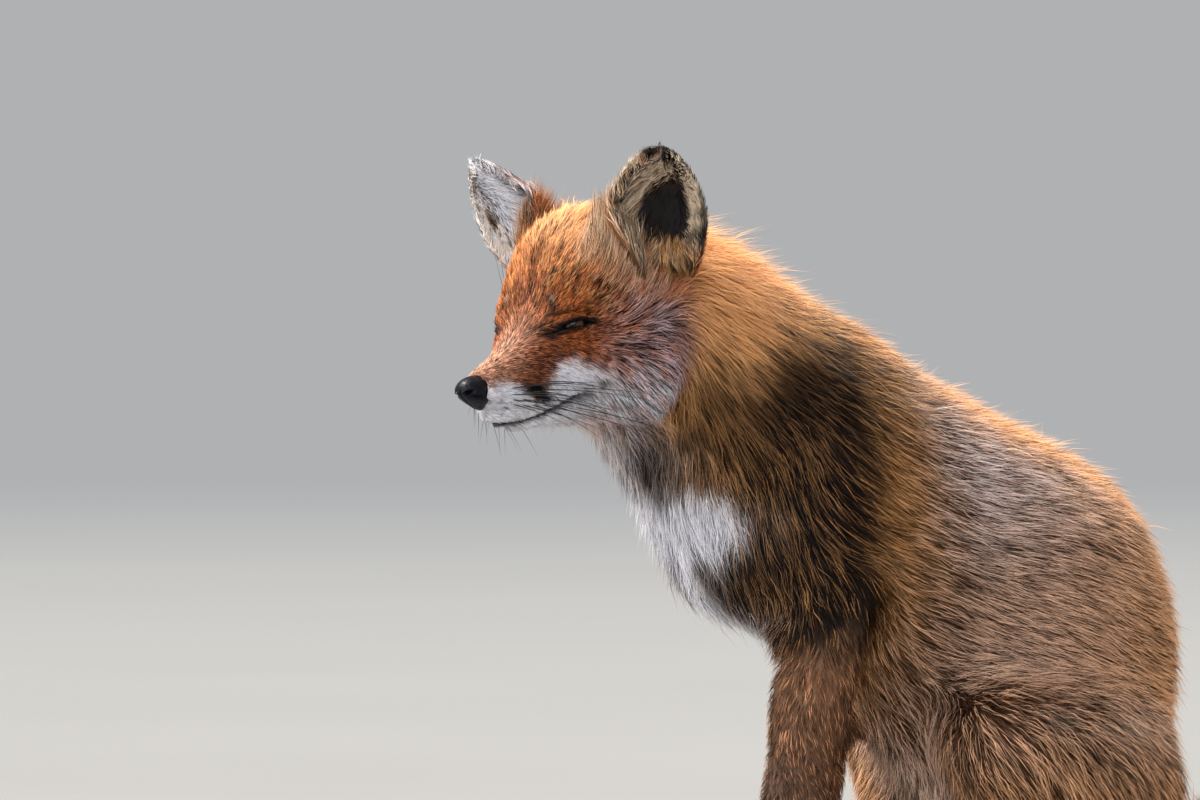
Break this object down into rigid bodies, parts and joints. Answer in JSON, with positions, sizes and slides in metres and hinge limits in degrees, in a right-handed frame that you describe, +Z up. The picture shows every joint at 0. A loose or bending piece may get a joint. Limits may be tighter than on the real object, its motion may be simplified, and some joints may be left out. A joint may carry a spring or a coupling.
{
  "type": "red fox model",
  "caption": "Still, life-size red fox sitting on its haunches with both forelegs straight and its head turned to its left, as a museum shows.",
  "frame": {"origin": "middle of the fox's footprint box, on the floor", "axes": "-Y is where the fox faces, +X its left side, +Z up"},
  "size_m": [0.4294, 0.7388, 0.5172],
  "materials": {
    "coat": "dense rusty-orange fox fur with dark brown guard hairs and buff tips, grey cheeks and white bib",
    "eye": "wet glassy amber-brown iris with a dark upright pupil",
    "nose": "moist black pebbled nose leather",
    "claw": "dark horn, slightly worn at the tips",
    "whisker": "stiff black tapering hairs"
  },
  "bodies": {
    "root": {"head": "coat", "left_ear": "coat", "left_eye": "eye", "left_foreclaw_1": "claw", "left_foreclaw_2": "claw", "left_foreclaw_3": "claw", "left_foreclaw_4": "claw", "left_foreleg": "coat", "left_forepaw": "coat", "left_hindclaw_1": "claw", "left_hindclaw_2": "claw", "left_hindclaw_3": "claw", "left_hindclaw_4": "claw", "left_hindfoot": "coat", "left_thigh": "coat", "neck": "coat", "nose": "nose", "right_ear": "coat", "right_eye": "eye", "right_foreclaw_1": "claw", "right_foreclaw_2": "claw", "right_foreclaw_3": "claw", "right_foreclaw_4": "claw", "right_foreleg": "coat", "right_forepaw": "coat", "right_hindclaw_1": "claw", "right_hindclaw_2": "claw", "right_hindclaw_3": "claw", "right_hindclaw_4": "claw", "right_hindfoot": "coat", "right_thigh": "coat", "tail_base": "coat", "tail_middle": "coat", "tail_tip": "coat", "trunk": "coat"}
  },
  "joints": []
}
